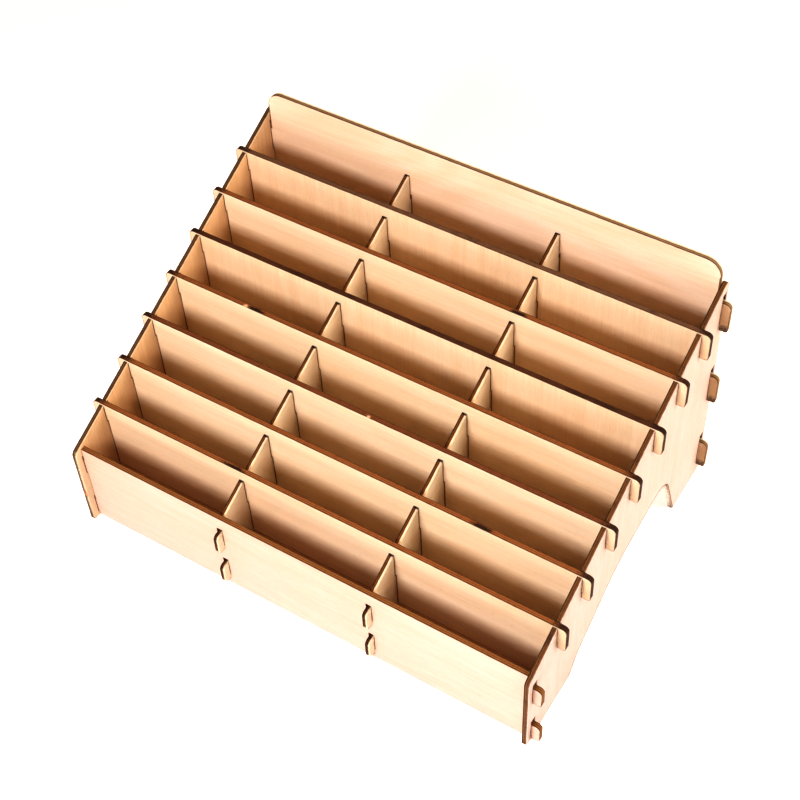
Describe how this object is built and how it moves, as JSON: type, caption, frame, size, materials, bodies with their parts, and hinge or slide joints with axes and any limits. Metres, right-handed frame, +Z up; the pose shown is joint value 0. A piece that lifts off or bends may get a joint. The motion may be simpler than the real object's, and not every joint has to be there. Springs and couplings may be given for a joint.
{
  "type": "storage rack",
  "caption": "Stepped plywood rack that stands on a table, with hooked side, front and back panels, a sloping floor and lift-out row dividers over column dividers.",
  "frame": {"origin": "on the ground, in the middle of the rack's width and of the side panels' length", "axes": "+X to the right along the rows, +Y to the back, +Z up"},
  "size_m": [0.3, 0.2116, 0.172],
  "materials": {
    "panel_plywood": "bare laser-cut birch plywood with scorched edges",
    "divider_plywood": "bare laser-cut birch plywood with scorched edges"
  },
  "bodies": {
    "rack": {"left_side_panel": "panel_plywood", "right_side_panel": "panel_plywood", "front_panel": "panel_plywood", "back_panel": "panel_plywood", "column_divider_1": "panel_plywood", "column_divider_2": "panel_plywood", "floor_board": "panel_plywood"},
    "divider_1": {"row_divider_1": "divider_plywood"},
    "divider_2": {"row_divider_2": "divider_plywood"},
    "divider_3": {"row_divider_3": "divider_plywood"},
    "divider_4": {"row_divider_4": "divider_plywood"},
    "divider_5": {"row_divider_5": "divider_plywood"},
    "divider_6": {"row_divider_6": "divider_plywood"},
    "divider_7": {"row_divider_7": "divider_plywood"}
  },
  "joints": [
    {"name": "row_divider_1_lift", "type": "slide", "parent": "rack", "child": "divider_1", "axis": [0, 0, 1], "range_m": [0, 0.06]},
    {"name": "row_divider_2_lift", "type": "slide", "parent": "rack", "child": "divider_2", "axis": [0, 0, 1], "range_m": [0, 0.06]},
    {"name": "row_divider_3_lift", "type": "slide", "parent": "rack", "child": "divider_3", "axis": [0, 0, 1], "range_m": [0, 0.06]},
    {"name": "row_divider_4_lift", "type": "slide", "parent": "rack", "child": "divider_4", "axis": [0, 0, 1], "range_m": [0, 0.06]},
    {"name": "row_divider_5_lift", "type": "slide", "parent": "rack", "child": "divider_5", "axis": [0, 0, 1], "range_m": [0, 0.06]},
    {"name": "row_divider_6_lift", "type": "slide", "parent": "rack", "child": "divider_6", "axis": [0, 0, 1], "range_m": [0, 0.06]},
    {"name": "row_divider_7_lift", "type": "slide", "parent": "rack", "child": "divider_7", "axis": [0, 0, 1], "range_m": [0, 0.06]}
  ]
}
